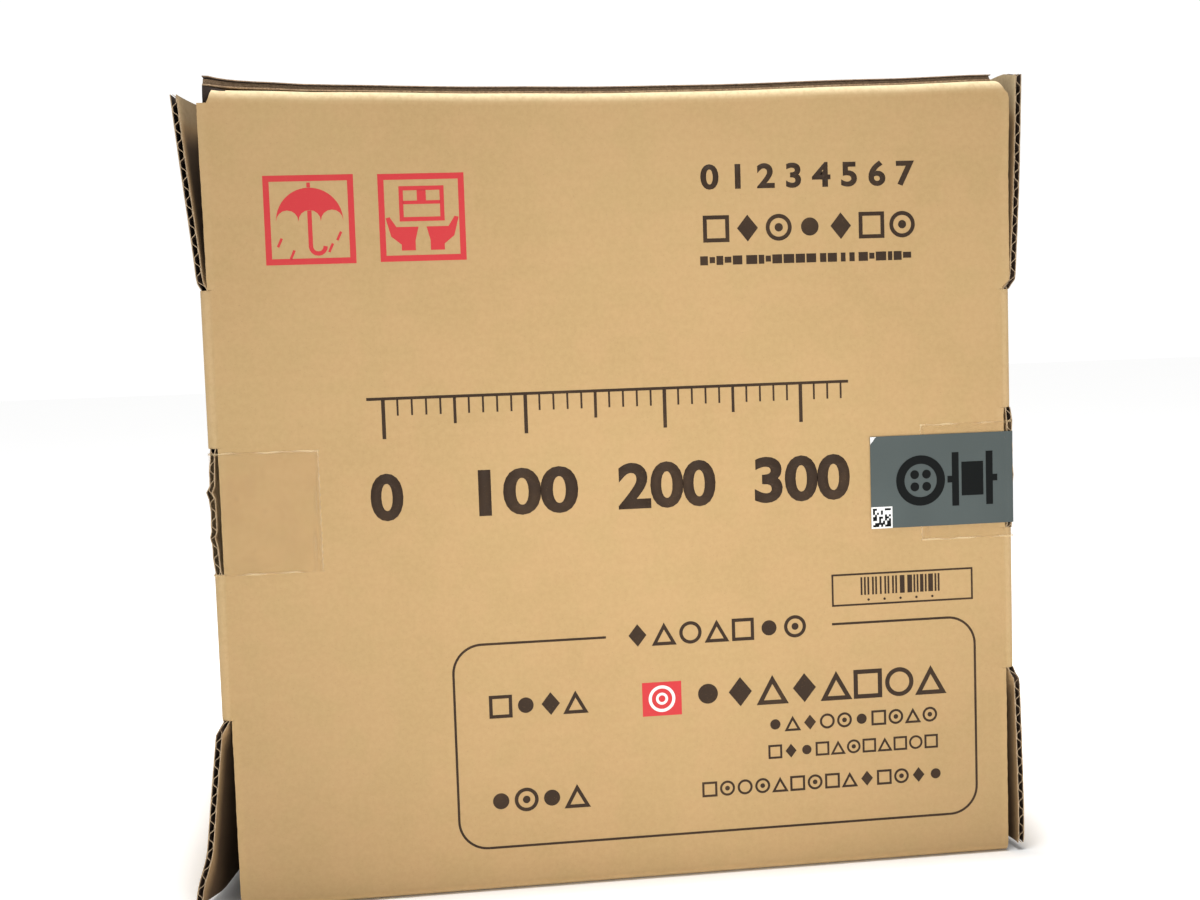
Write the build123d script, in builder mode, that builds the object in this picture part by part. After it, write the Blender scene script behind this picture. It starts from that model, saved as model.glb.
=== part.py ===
"""Cable spool box: a corrugated carton that opens at the back, with a cable spool on an axle inside.

Frame: millimetres, origin at the centre of the bottom face, +Z up.
The printed front faces -Y and +X is to the right when the front is seen.
"""
import os
from math import asin, degrees

from build123d import *

# ---------------------------------------------------------------- carton sizes
width = 335.0             # over the two side walls
depth = 220.0             # over the front and back panels
height = 333.6            # floor to the top of the outer flap
board = 3.4               # corrugated board thickness
fold_radius = 3.0         # outside radius of the folded edges
slit_gap = 0.3            # between a panel and the wall edge beside it
wall_lift = 3.4           # side walls' lower edge above the floor
middle_slit = 61.0        # slit under each tape
crease_gap = 0.8          # between a slit's end and the crease of the flared corner
middle_drop = 2.4         # middle slit and tapes below the panel's middle
corner_relief = 6.0       # cut-off corners where the front folds into the top

# Slit corners of the side walls, spread outwards: the slit's length from the panel's
# upper or lower edge, the crease's reach along Y and the outward travel of the corner.
corners = {
    ("left", "upper"): (78.0, 70.0, 7.3),
    ("left", "lower"): (79.0, 65.0, 10.5),
    ("right", "upper"): (87.0, 60.0, 5.5),
    ("right", "lower"): (81.0, 60.0, 2.6),
}

# flaps
flap_inset = 6.3          # outer top flap's side edges inside the side walls
dust_reach = 112.0        # dust flap from its hinge to its free edge
dust_foot = 8.0           # dust flap's lower corner at the hinge
dust_head = 4.0           # dust flap's upper edge below the inner top panel
dust_corner = 14.0        # rounded free corners
tab_height = 48.0         # glue tabs on the inner top and bottom panels
tab_start = 92.0          # glue tab's front end behind the front face
tab_back = 10.4           # glue tab's back end in front of the rear cradle
tab_taper = 10.0

# ------------------------------------------------------------- cable spool
flange_clearance = 11.7   # from the flanges' rims to the nearest panel
flange_thick = 6.0
core_radius = 60.0
core_wall = 4.0
winding_margin = 18.0     # flanges stand this much over the winding
hub_radius = 24.0
hub_length = 18.0
axle_radius = 12.5
axle_wall = 2.5
running_clearance = 0.08  # spool hubs on the axle tube
seat_clearance = 0.1      # parts that sit still in one another
end_play = 0.8            # spool between the bushes
drive_hole_radius = 15.0
drive_hole_count = 3
rod_radius = 3.0
rod_spacing = 9.0         # rods outside the bushes' flanges
rod_count = 4
nut_across = 10.0
nut_thick = 2.4
band_width = 24.0
band_thick = 0.8
band_angle = 70.0

# ------------------------------------------------------- cradles and bushes
cradle_plies = 2
cradle_gap = 14.1         # beside the side walls
cradle_corner = 40.0
bush_radius = 22.0
bush_flange_radius = 33.0
bush_flange = 3.0

# ----------------------------------------------------------- payout grommet
payout_radius = 11.0
payout_y = 0.0
payout_drop = 6.2         # grommet's rim below the glue tab
grommet_barrel = 16.0
grommet_flange_radius = 24.0
grommet_flange = 2.6
ring_thick = 3.0
grommet_tail = 1.2        # barrel past the retaining ring

# --------------------------------------------------------- tapes and labels
tape_width = 49.6
tape_thick = 0.15
tape_wrap = 46.0          # on the side wall
left_tape_reach = 43.8    # on the front, from the side face
right_tape_reach = 41.0
label_thick = 0.15
label_reach = 62.7
label_height = 39.0
label_wrap = 24.0
label_rise = 0.8          # label's centre above the tape's
code_size = 9.2

# ------------------------------------------------------------ shared places
half_w = width / 2
half_d = depth / 2
wall_in = half_w - board                  # inner face of a side wall
panel_top = height - board                # top of the front panel, under the outer flap
ceiling = height - 2 * board              # underside of the inner top panel
mouth = half_d - 2 * board                # back edges of the walls and inner panels
panel_edge = wall_in - slit_gap           # panels' side edges along the slits
middle_z = panel_top / 2 - middle_drop
middle_low = middle_z - middle_slit / 2
middle_high = middle_z + middle_slit / 2
spool_z = (board + ceiling) / 2
cradle = cradle_plies * board
cradle_half_width = wall_in - cradle_gap
tab_end = mouth - cradle - tab_back
payout_z = ceiling - tab_height - payout_drop - grommet_flange_radius
flange_radius = min(wall_in, (ceiling - board) / 2) - flange_clearance
winding_radius = flange_radius - winding_margin
drive_hole_circle = (core_radius + winding_radius) / 2
rod_circle = bush_flange_radius + rod_spacing
spool_front = -half_d + board + cradle + bush_flange + end_play
spool_back = mouth - cradle - bush_flange - end_play
winding_front = spool_front + flange_thick
winding_back = spool_back - flange_thick


def save(part, name):
    """Label a finished piece and write it as its own STEP file."""
    part.label = name
    export_step(part, f"parts/{name}.step")


def at_y(y):
    """Upright plane at the given Y: local x is +X, local y is +Z, normal is -Y."""
    return Plane.XZ.offset(-y)


def spool_plane(y):
    """Upright plane at the given Y, centred on the spool's axis."""
    return Plane(origin=(0, y, spool_z), x_dir=(1, 0, 0), z_dir=(0, -1, 0))


os.makedirs("parts", exist_ok=True)

# ------------------------------------------------------------ fixed carton
def slit_ends(name):
    """Heights where the lower and upper slits of the left or right front edge end."""
    return corners[name, "lower"][0], panel_top - corners[name, "upper"][0]


def front_outline(side, name):
    """Front panel's edge, upwards: full width at the folds, narrower along the slits."""
    lower_z, upper_z = slit_ends(name)
    edge = [
        (panel_edge, 0),
        (panel_edge, lower_z),
        (half_w, lower_z),
        (half_w, middle_low),
        (panel_edge, middle_low),
        (panel_edge, middle_high),
        (half_w, middle_high),
        (half_w, upper_z),
        (panel_edge, upper_z),
        (panel_edge, panel_top - corner_relief),
        (panel_edge - corner_relief, panel_top),
    ]
    return [(side * x, z) for x, z in edge]


with BuildPart() as front_panel:
    with BuildSketch(at_y(-half_d + board)):
        Polygon(*front_outline(1, "right"), *reversed(front_outline(-1, "left")), align=None)
    extrude(amount=board)
    outer_edges = front_panel.faces().sort_by(Axis.Y)[0].edges().filter_by(Axis.X)
    fillet(outer_edges.group_by(Axis.Z)[0] + outer_edges.group_by(Axis.Z)[-1], fold_radius)
save(front_panel.part, "front_panel")

with BuildPart() as bottom_panel:
    with BuildSketch(Plane.XY):
        Rectangle(2 * panel_edge, depth - 2 * board)
    extrude(amount=board)
save(bottom_panel.part, "bottom_panel")

# Inner top panel: its front corners are relieved so that the wall corners can spread.
with BuildPart() as top_inner_panel:
    with BuildSketch(Plane.XY.offset(ceiling)):
        Rectangle(2 * panel_edge, depth - 2 * board)
        front_corners = vertices().group_by(Axis.Y)[0]
        chamfer(front_corners, corner_relief, 4 * corner_relief)
    extrude(amount=board)
save(top_inner_panel.part, "top_inner_panel")


def wall_corner(side, x_in, crease_z, edge_z, reach, travel):
    """Plane and outline of a wall corner, bent outwards about the crease across it."""
    crease = Vector(0, reach, edge_z - crease_z)
    flat = Plane(origin=(x_in, -half_d, crease_z), x_dir=crease, z_dir=(side, 0, 0))
    corner = flat.to_local_coords(Vector(x_in, -half_d, edge_z))
    bend = degrees(asin(travel / abs(corner.Y)))
    bent = Plane(flat.location * Rotation(bend if corner.Y > 0 else -bend, 0, 0))
    return bent, [(0, 0), (crease.length, 0), (corner.X, corner.Y)]


def side_wall(side, name):
    """Side wall: its front edge sits behind the folded strips and shows along the slits."""
    upper_reach, upper_travel = corners[name, "upper"][1:]
    lower_reach, lower_travel = corners[name, "lower"][1:]
    lower_z, upper_z = slit_ends(name)
    lower_crease = lower_z - crease_gap
    upper_crease = upper_z + crease_gap
    x_in = side * wall_in
    outline = [
        (-half_d + lower_reach, wall_lift),
        (mouth, wall_lift),
        (mouth, panel_top),
        (-half_d + upper_reach, panel_top),
        (-half_d, upper_crease),
        (-half_d + board, upper_crease),
        (-half_d + board, middle_high),
        (-half_d, middle_high),
        (-half_d, middle_low),
        (-half_d + board, middle_low),
        (-half_d + board, lower_crease),
        (-half_d, lower_crease),
    ]
    with BuildPart() as wall:
        with BuildSketch(Plane.YZ.offset(x_in)):
            Polygon(*outline, align=None)
            if side > 0:
                with Locations((payout_y, payout_z)):
                    Circle(grommet_barrel + seat_clearance, mode=Mode.SUBTRACT)
        extrude(amount=side * board)
        for crease_z, edge_z, reach, travel in (
            (upper_crease, panel_top, upper_reach, upper_travel),
            (lower_crease, wall_lift, lower_reach, lower_travel),
        ):
            plane, corner_outline = wall_corner(side, x_in, crease_z, edge_z, reach, travel)
            with BuildSketch(plane):
                Polygon(*corner_outline, align=None)
            extrude(amount=board)
    return wall.part


def glue_tab(side, z_panel, direction):
    """Tab folded from an inner panel and glued to the inside of a side wall."""
    y0 = -half_d + tab_start
    with BuildPart() as tab:
        with BuildSketch(Plane.YZ.offset(side * wall_in)):
            Polygon(
                (y0, z_panel),
                (tab_end, z_panel),
                (tab_end - tab_taper, z_panel + direction * tab_height),
                (y0 + tab_taper, z_panel + direction * tab_height),
                align=None,
            )
        extrude(amount=-side * board)
    return tab.part


def dust_flap(side):
    """Back flap folded from a side wall; its foot slopes so that the back panel swings past it."""
    reach_x = side * (half_w - dust_reach)
    with BuildPart() as flap:
        with BuildSketch(at_y(half_d - board)):
            Polygon(
                (side * half_w, dust_foot),
                (side * half_w, ceiling - dust_head),
                (reach_x, ceiling - dust_head),
                (reach_x, dust_foot + dust_reach),
                align=None,
            )
            free_corners = vertices().filter_by_position(Axis.X, reach_x - 1, reach_x + 1)
            fillet(free_corners, dust_corner)
        extrude(amount=board)
    return flap.part


for side, name in ((-1, "left"), (1, "right")):
    save(side_wall(side, name), f"{name}_side_wall")
    save(glue_tab(side, board, 1), f"{name}_bottom_tab")
    save(glue_tab(side, ceiling, -1), f"{name}_top_tab")
    save(dust_flap(side), f"{name}_dust_flap")

# ------------------------------------------------------------ opening panels
# Back panel: hinged along the bottom back edge, so its lower edge meets the floor.
with BuildPart() as back_panel:
    with BuildSketch(at_y(half_d)):
        with Locations((0, panel_top / 2)):
            Rectangle(width, panel_top)
    extrude(amount=board)
save(back_panel.part, "back_panel")

# Outer top flap: folded from the back panel, it covers the top up to the front face.
with BuildPart() as top_outer_flap:
    with BuildSketch(Plane.XY.offset(panel_top)):
        Rectangle(width - 2 * flap_inset, depth)
    extrude(amount=board)
save(top_outer_flap.part, "top_outer_flap")

# --------------------------------------------------------- cradles and axle
cradle_faces = {"front": -half_d + board + cradle, "rear": mouth}
for name, y in cradle_faces.items():
    with BuildPart() as cradle_board:
        with BuildSketch(at_y(y)):
            with Locations((0, (board + ceiling) / 2)):
                Rectangle(2 * cradle_half_width, ceiling - board)
            upper_corners = vertices().group_by(Axis.Y)[-1]
            chamfer(upper_corners, cradle_corner)
            with Locations((0, spool_z)):
                Circle(bush_radius, mode=Mode.SUBTRACT)
        extrude(amount=cradle)
    save(cradle_board.part, f"{name}_cradle_board")

# Bushes: a barrel in the cradle board and a flange on the spool's side of it.
bush_spans = {
    "front": (-half_d + board, -half_d + board + cradle, bush_flange),
    "rear": (mouth, mouth - cradle, -bush_flange),
}
for name, (barrel_y, flange_y, flange_run) in bush_spans.items():
    with BuildPart() as bush:
        with BuildSketch(spool_plane(barrel_y)):
            Circle(bush_radius - seat_clearance)
        extrude(amount=barrel_y - flange_y)
        with BuildSketch(spool_plane(flange_y)):
            Circle(bush_flange_radius)
        extrude(amount=-flange_run)
        with BuildSketch(spool_plane(barrel_y)):
            Circle(axle_radius + seat_clearance)
        extrude(amount=barrel_y - flange_y - flange_run, mode=Mode.SUBTRACT)
        rim_y = flange_y + flange_run
        rims = bush.edges().filter_by(GeomType.CIRCLE).filter_by_position(Axis.Y, rim_y - 0.01, rim_y + 0.01)
        chamfer(rims.sort_by(SortBy.RADIUS)[-1], bush_flange / 4)
    save(bush.part, f"{name}_axle_bush")

with BuildPart() as axle_tube:
    with BuildSketch(spool_plane(mouth)):
        Circle(axle_radius)
        Circle(axle_radius - axle_wall, mode=Mode.SUBTRACT)
    extrude(amount=mouth + half_d - board)
save(axle_tube.part, "axle_tube")

# ------------------------------------------------------------------- spool
flange_faces = {
    "front": (spool_front, winding_front, winding_front + hub_length),
    "rear": (spool_back, winding_back, winding_back - hub_length),
}
for name, (outer_y, inner_y, hub_y) in flange_faces.items():
    with BuildPart() as flange:
        with BuildSketch(spool_plane(outer_y)):
            Circle(flange_radius)
            with PolarLocations(drive_hole_circle, drive_hole_count, start_angle=90):
                Circle(drive_hole_radius, mode=Mode.SUBTRACT)
            with PolarLocations(rod_circle, rod_count, start_angle=45):
                Circle(rod_radius + seat_clearance, mode=Mode.SUBTRACT)
        extrude(amount=outer_y - inner_y)
        with BuildSketch(spool_plane(inner_y)):
            Circle(hub_radius)
        extrude(amount=inner_y - hub_y)
        with BuildSketch(spool_plane(outer_y)):
            Circle(axle_radius + running_clearance)
        extrude(amount=outer_y - hub_y, mode=Mode.SUBTRACT)
    save(flange.part, f"spool_{name}_flange")

with BuildPart() as spool_core:
    with BuildSketch(spool_plane(winding_back)):
        Circle(core_radius)
        Circle(core_radius - core_wall, mode=Mode.SUBTRACT)
    extrude(amount=winding_back - winding_front)
save(spool_core.part, "spool_core")

# The winding is one closed ring: the turns lie from the core out to the winding radius.
with BuildPart() as wound_cable:
    with BuildSketch(spool_plane(winding_back)):
        Circle(winding_radius)
        Circle(core_radius + seat_clearance, mode=Mode.SUBTRACT)
    extrude(amount=winding_back - winding_front)
save(wound_cable.part, "wound_cable")

# A strip of band over the last turns holds the cable's end down.
with BuildPart() as cable_end_band:
    with BuildSketch(spool_plane(band_width / 2)):
        with BuildLine():
            inner = CenterArc((0, 0), winding_radius + seat_clearance, 90, band_angle)
            outer = CenterArc((0, 0), winding_radius + seat_clearance + band_thick, 90, band_angle)
            Line(inner @ 0, outer @ 0)
            Line(inner @ 1, outer @ 1)
        make_face()
    extrude(amount=band_width)
save(cable_end_band.part, "cable_end_band")

# Tie rods clamp the flanges on the core, with a hexagon at each end.
rod_places = PolarLocations(rod_circle, rod_count, start_angle=45).local_locations
for number, place in enumerate(rod_places, start=1):
    with BuildPart() as tie_rod:
        with BuildSketch(spool_plane(spool_back)):
            with Locations(place.position):
                Circle(rod_radius)
        extrude(amount=spool_back - spool_front)
        for y, run in ((spool_back, -nut_thick), (spool_front, nut_thick)):
            with BuildSketch(spool_plane(y)):
                with Locations(place.position):
                    RegularPolygon(nut_across / 2, 6, major_radius=False)
            extrude(amount=run)
    save(tie_rod.part, f"tie_rod_{number}")

# ---------------------------------------------------------- payout grommet
payout_plane = Plane(origin=(half_w, payout_y, payout_z), x_dir=(0, 1, 0), z_dir=(1, 0, 0))
grommet_depth = board + ring_thick + grommet_tail
with BuildPart() as payout_grommet:
    with BuildSketch(payout_plane):
        Circle(grommet_flange_radius)
    extrude(amount=grommet_flange)
    rim = payout_grommet.faces().sort_by(Axis.X)[-1].edges()
    chamfer(rim, grommet_flange / 3)
    with BuildSketch(payout_plane):
        Circle(grommet_barrel)
    extrude(amount=-grommet_depth)
    with BuildSketch(payout_plane.offset(grommet_flange)):
        Circle(payout_radius)
    extrude(amount=-grommet_flange - grommet_depth, mode=Mode.SUBTRACT)
save(payout_grommet.part, "payout_grommet")

with BuildPart() as grommet_ring:
    with BuildSketch(payout_plane.offset(-board)):
        Circle(grommet_flange_radius)
        Circle(grommet_barrel + seat_clearance, mode=Mode.SUBTRACT)
    extrude(amount=-ring_thick)
save(grommet_ring.part, "grommet_ring")


# --------------------------------------------------------- tapes and labels
def edge_strip(side, reach, wrap, z_low, z_high, lift, thick):
    """Thin strip on the front face that turns the corner onto the side wall."""
    x_out = half_w + lift
    y_out = -half_d - lift
    with BuildPart() as strip:
        with BuildSketch(Plane.XY.offset(z_low)):
            with BuildLine():
                Polyline(
                    (side * (half_w - reach), y_out),
                    (side * x_out, y_out),
                    (side * x_out, -half_d + wrap),
                    (side * (x_out + thick), -half_d + wrap),
                    (side * (x_out + thick), y_out - thick),
                    (side * (half_w - reach), y_out - thick),
                    close=True,
                )
            make_face()
        extrude(amount=z_high - z_low)
    return strip.part


tape_low = middle_z - tape_width / 2
tape_high = middle_z + tape_width / 2
label_low = middle_z + label_rise - label_height / 2
left_tape = edge_strip(-1, left_tape_reach, tape_wrap, tape_low, tape_high, 0, tape_thick)
right_tape = edge_strip(1, right_tape_reach, tape_wrap, tape_low, tape_high, 0, tape_thick)
label = edge_strip(
    1, label_reach, label_wrap, label_low, label_low + label_height, tape_thick, label_thick
)
save(left_tape, "left_clear_tape")
save(right_tape, "right_clear_tape")
save(label, "colour_label")

with BuildPart() as code_label:
    with BuildSketch(at_y(-half_d - tape_thick - label_thick)):
        with Locations((half_w - label_reach + code_size / 2, label_low + code_size / 2)):
            Rectangle(code_size, code_size)
    extrude(amount=label_thick)
save(code_label.part, "code_label")
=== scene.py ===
"""Looks of the cable spool box: corrugated board, print, tapes, labels and the spool inside.

Everything is in metres in the carton's own frame: the printed front faces -Y, +Z is up and
the origin is at the centre of the bottom face.
"""

import random
from math import cos, exp, pi, radians, sin, sqrt

import bpy
from mathutils import Matrix, Vector


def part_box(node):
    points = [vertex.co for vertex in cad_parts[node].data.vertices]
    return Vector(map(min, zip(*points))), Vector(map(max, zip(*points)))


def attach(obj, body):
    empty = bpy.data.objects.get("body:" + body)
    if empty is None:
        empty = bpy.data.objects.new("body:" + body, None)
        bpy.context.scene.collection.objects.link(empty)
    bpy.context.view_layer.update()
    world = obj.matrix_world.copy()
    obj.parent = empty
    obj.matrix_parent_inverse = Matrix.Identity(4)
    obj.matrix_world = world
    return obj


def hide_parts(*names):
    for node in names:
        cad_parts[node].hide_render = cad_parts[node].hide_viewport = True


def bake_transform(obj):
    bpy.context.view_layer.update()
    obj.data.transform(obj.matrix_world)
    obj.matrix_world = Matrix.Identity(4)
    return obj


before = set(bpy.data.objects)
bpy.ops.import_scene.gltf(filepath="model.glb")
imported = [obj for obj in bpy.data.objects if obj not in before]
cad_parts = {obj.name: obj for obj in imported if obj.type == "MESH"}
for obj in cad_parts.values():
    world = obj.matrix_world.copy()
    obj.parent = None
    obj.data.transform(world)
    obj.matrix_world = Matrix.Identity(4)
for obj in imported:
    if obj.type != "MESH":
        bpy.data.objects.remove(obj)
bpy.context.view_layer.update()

# ---- sizes
MM = 0.001
front_low, front_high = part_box("front_panel")
flap_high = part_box("top_outer_flap")[1]
HALF_W = front_high.x
FRONT_Y = front_low.y
BACK_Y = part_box("back_panel")[1].y
BOARD = front_high.y - front_low.y
PANEL_TOP = front_high.z
TOP = flap_high.z
CEILING = PANEL_TOP - BOARD
MOUTH = BACK_Y - 2 * BOARD
WALL_IN = HALF_W - BOARD
PANEL_EDGE = WALL_IN - 0.3 * MM
WALL_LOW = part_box("left_side_wall")[0].z

LINER = 0.36 * MM          # paper on each side of the board
MEDIUM = 0.26 * MM         # fluted paper between them
FLUTE = 7.5 * MM           # one wave of the medium
FLUTE_STEPS = 12
LINER_OUT = BOARD / 2 - LINER / 2
BOARD_SHARP = 38           # degrees, above which a board's edge stays sharp
FILM_SHARP = 50            # the same for films, labels and the cable

# Middle slits of the side edges, from low to high.
MIDDLE_Z = PANEL_TOP / 2 - 2.4 * MM
MIDDLE_SLITS = {
    "left": (MIDDLE_Z - 24.3 * MM, MIDDLE_Z + 26.8 * MM),
    "right": (MIDDLE_Z - 21.0 * MM, MIDDLE_Z + 30.5 * MM),
}

# Slit corners of the side walls: slit length, crease reach and outward travel.
CORNERS = {
    place: tuple(size * MM for size in sizes) for place, sizes in {
        ("left", "upper"): (78.0, 70.0, 8.2),
        ("left", "lower"): (79.0, 65.0, 11.0),
        ("right", "upper"): (87.0, 60.0, 6.6),
        ("right", "lower"): (81.0, 60.0, 3.5),
    }.items()
}
SIDES = {"left": -1, "right": 1}


def smooth(low, high, value):
    """0 below low, 1 above high and a smooth rise between them."""
    t = min(max((value - low) / (high - low), 0.0), 1.0)
    return t * t * (3 - 2 * t)


def fall(low, high, value):
    """1 below low, 0 above high and a smooth fall between them."""
    return 1 - smooth(low, high, value)


def steps(low, high, count):
    """Evenly spaced values from low to high."""
    return [low + (high - low) * i / count for i in range(count + 1)]


def name_of(side):
    return "left" if side < 0 else "right"


# ---- materials
class Socket:
    """A shader value that can be used in ordinary arithmetic."""

    def __init__(self, finish, link):
        self.finish = finish
        self.link = link

    def maths(self, operation, *others):
        return self.finish.node("Math", {"operation": operation}, [self, *others])

    def __add__(self, other):
        return self.maths("ADD", other)

    def __mul__(self, other):
        return self.maths("MULTIPLY", other)

    def __sub__(self, other):
        return self.maths("SUBTRACT", other)

    def between(self, low, high):
        """0 below low, 1 above high, smooth between."""
        settings = {"interpolation_type": "SMOOTHSTEP"}
        inputs = {"Value": self, "From Min": low, "From Max": high}
        return self.finish.node("MapRange", settings, inputs)


class Finish:
    """One material: its shader and the nodes that feed it."""

    def __init__(self, name, **constants):
        self.material = bpy.data.materials.new(name)
        self.material.use_nodes = True
        self.nodes = self.material.node_tree.nodes
        self.links = self.material.node_tree.links
        self.shader = self.nodes["Principled BSDF"]
        for socket, value in constants.items():
            self.shader.inputs[socket.replace("_", " ")].default_value = value
        self.place = self.node("TexCoord", {}, {}, "Object")

    def node(self, kind, settings, inputs, output=0):
        """Adds a node, sets it up, joins its inputs and returns one of its outputs."""
        made = self.nodes.new("ShaderNode" + kind)
        for key, value in settings.items():
            setattr(made, key, value)
        pairs = inputs.items() if isinstance(inputs, dict) else enumerate(inputs)
        for key, value in pairs:
            if isinstance(value, Socket):
                self.links.new(value.link, made.inputs[key])
            else:
                made.inputs[key].default_value = value
        return Socket(self, made.outputs[output])

    def noise(self, size, detail=3.0, rough=0.6, stretch=(1, 1, 1)):
        """Noise whose features are about the given size in metres."""
        point = self.node("Mapping", {}, {"Vector": self.place, "Scale": stretch})
        inputs = {"Vector": point, "Scale": 1 / size, "Detail": detail, "Roughness": rough}
        return self.node("TexNoise", {}, inputs, "Fac")

    def axis(self, letter):
        return self.node("SeparateXYZ", {}, {"Vector": self.place}, letter)

    def mix(self, factor, first, second):
        return self.node("Mix", {"data_type": "RGBA"}, {0: factor, 6: first, 7: second}, 2)

    def feed(self, **sockets):
        for socket, value in sockets.items():
            self.links.new(value.link, self.shader.inputs[socket.replace("_", " ")])

    def made(self, height, distance, strength, **sockets):
        """Feeds the shader, bumps the surface by a height and returns the material."""
        inputs = {"Height": height, "Distance": distance, "Strength": strength}
        self.feed(Normal=self.node("Bump", {}, inputs), **sockets)
        return self.material


def colour(red, green, blue):
    """Linear colour from ordinary 0 to 255 values."""
    def linear(value):
        value /= 255
        return value / 12.92 if value <= 0.04045 else ((value + 0.055) / 1.055) ** 2.4

    return (linear(red), linear(green), linear(blue), 1.0)


def paler(shade, gain, lift=0.0):
    """The same colour made paler."""
    return tuple(min(1.0, c * gain + lift) for c in shade[:3]) + (1.0,)


KRAFT = colour(189, 157, 107)
KRAFT_LIGHT = colour(214, 183, 136)
KRAFT_DARK = colour(179, 146, 97)
KRAFT_RAW = colour(150, 116, 78)
# pale cream: wear, and painted highlight on the top fold
KRAFT_LIT_AND_WORN = colour(246, 226, 182)
KRAFT_PINK = colour(199, 159, 113)
# dark brown: painted shade
KRAFT_SHADE = colour(56, 37, 26)
FRAYED = colour(196, 170, 136)


def kraft(name, flute_axis, tone=KRAFT):
    """Kraft liner: cloudy fibres and a faint line over each flute.

    The attribute "worn" makes it pale above 0, as wear and as a painted highlight on a fold,
    and darker below 0, as painted shade.
    """
    finish = Finish(name, Roughness=0.82)
    cloud = finish.noise(0.085, 4.0, 0.55)
    blotch = finish.noise(0.013, 2.0, 0.5)
    fibre = finish.noise(0.0022, 4.0, 0.7)
    speck = finish.noise(0.0007, 2.0, 0.5).between(0.66, 0.74)
    along = finish.axis(flute_axis)
    ridge = (along * (2 * pi / FLUTE)).maths("SINE")
    worn = finish.node("Attribute", {"attribute_name": "worn"}, {}, "Fac")
    shade = finish.mix(cloud.between(0.3, 0.7) * 0.45 + 0.55, KRAFT_DARK, tone)
    shade = finish.mix(blotch.between(0.35, 0.65) * 0.3, shade, KRAFT_PINK)
    shade = finish.mix(fibre.between(0.3, 0.7) * 0.2, shade, KRAFT_LIGHT)
    shade = finish.mix(speck * 0.28, shade, KRAFT_RAW)
    shade = finish.mix((ridge * 0.5 + 0.5) * 0.05, shade, KRAFT_DARK)
    # Above 0 the attribute makes the liner pale: wear, and painted highlight.
    shade = finish.mix(worn * (fibre.between(0.3, 0.6) * 0.3 + 0.6), shade, KRAFT_LIT_AND_WORN)
    # Below 0 it makes the liner darker: painted shade.
    shade = finish.mix(worn * -1.0, shade, KRAFT_SHADE)
    relief = ridge * 0.06 + fibre * 0.12 + blotch * 0.25
    return finish.made(relief, 0.0003, 0.45, Base_Color=shade, Roughness=fibre * 0.16 + 0.72)


def raw_paper(name, low, high, frays=0.6, grain=0.0009, rough=0.8, relief=0.0003, strength=0.8):
    """Bare recycled paper of the medium and the cut edges, frayed pale here and there."""
    finish = Finish(name, Roughness=0.95)
    fibre = finish.noise(grain, 4.0, rough)
    frayed = finish.noise(0.007, 4.0, 0.7).between(0.5, 0.68)
    shade = finish.mix(fibre.between(0.3, 0.7), low, high)
    return finish.made(fibre, relief, strength, Base_Color=finish.mix(frayed * frays, shade, FRAYED))


def ink(name, body, worn_through):
    """Flexo ink on board: matt, a little starved where the board is rough."""
    finish = Finish(name, Roughness=0.75, Specular_IOR_Level=0.2)
    grain = finish.noise(0.0006, 3.0, 0.7).between(0.6, 0.78)
    patch = finish.noise(0.02, 3.0, 0.6).between(0.45, 0.8)
    finish.feed(Base_Color=finish.mix(grain * 0.35 + patch * 0.1, body, worn_through))
    return finish.material


def clear_tape():
    """Clear packing tape: a glossy film with trapped bubbles, milky along its cut edges."""
    finish = Finish("clear_tape", Specular_IOR_Level=0.3)
    ripple = finish.noise(0.014, 3.0, 0.5)
    bubble = finish.noise(0.004, 2.0, 0.5).between(0.68, 0.74)
    edge = finish.node("Attribute", {"attribute_name": "worn"}, {}, "Fac")
    shade = finish.mix(edge, colour(196, 161, 112), colour(250, 228, 182))
    cover = ripple.between(0.4, 0.7) * 0.03 + bubble * 0.04 + edge * 0.42 + 0.03
    rough = ripple * 0.2 + 0.08
    return finish.made(ripple, 0.0001, 0.3, Base_Color=shade, Alpha=cover, Roughness=rough)


def coated_paper(name, shade, roughness):
    """Smooth label paper with a very fine surface."""
    finish = Finish(name, Roughness=roughness, Specular_IOR_Level=0.35)
    cloud = finish.noise(0.03, 3.0, 0.5)
    fine = finish.noise(0.0009, 2.0, 0.5)
    tone = finish.mix(cloud.between(0.35, 0.7), shade, paler(shade, 1.12))
    return finish.made(fine, 0.00005, 0.3, Base_Color=tone, Roughness=fine * 0.12 + roughness)


def plastic(name, shade, roughness, gloss=0.5):
    """Moulded plastic with a fine spark-eroded texture and slight scuffs."""
    finish = Finish(name, Roughness=roughness, Specular_IOR_Level=gloss)
    fine = finish.noise(0.0008, 3.0, 0.6)
    scuff = finish.noise(0.012, 4.0, 0.7, (1.0, 1.0, 0.4)).between(0.6, 0.8)
    tone = finish.mix(scuff * 0.5, shade, paler(shade, 1.5, 0.01))
    return finish.made(fine, 0.00008, 0.4, Base_Color=tone, Roughness=scuff * 0.2 + roughness)


def zinc_steel():
    """Bright zinc plating with faint drawn lines and dull spangles."""
    finish = Finish("zinc_steel", Metallic=1.0)
    drawn = finish.noise(0.0006, 3.0, 0.6, (1.0, 0.02, 1.0))
    patch = finish.noise(0.008, 4.0, 0.6)
    shade = finish.mix(patch.between(0.35, 0.7), colour(186, 190, 194), colour(212, 213, 210))
    rough = drawn * 0.25 + patch * 0.12 + 0.16
    return finish.made(drawn, 0.00004, 0.5, Base_Color=shade, Roughness=rough)


def hardboard():
    """Pressed hardboard: warm brown, mottled with pressed fibres."""
    finish = Finish("hardboard", Roughness=0.55)
    cloud = finish.noise(0.05, 4.0, 0.6)
    fibre = finish.noise(0.0022, 5.0, 0.8)
    shade = finish.mix(cloud.between(0.3, 0.7), colour(112, 78, 50), colour(132, 95, 63))
    shade = finish.mix(fibre.between(0.5, 0.8) * 0.55, shade, colour(92, 62, 40))
    return finish.made(fibre, 0.00012, 0.5, Base_Color=shade, Roughness=fibre * 0.2 + 0.42)


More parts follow.
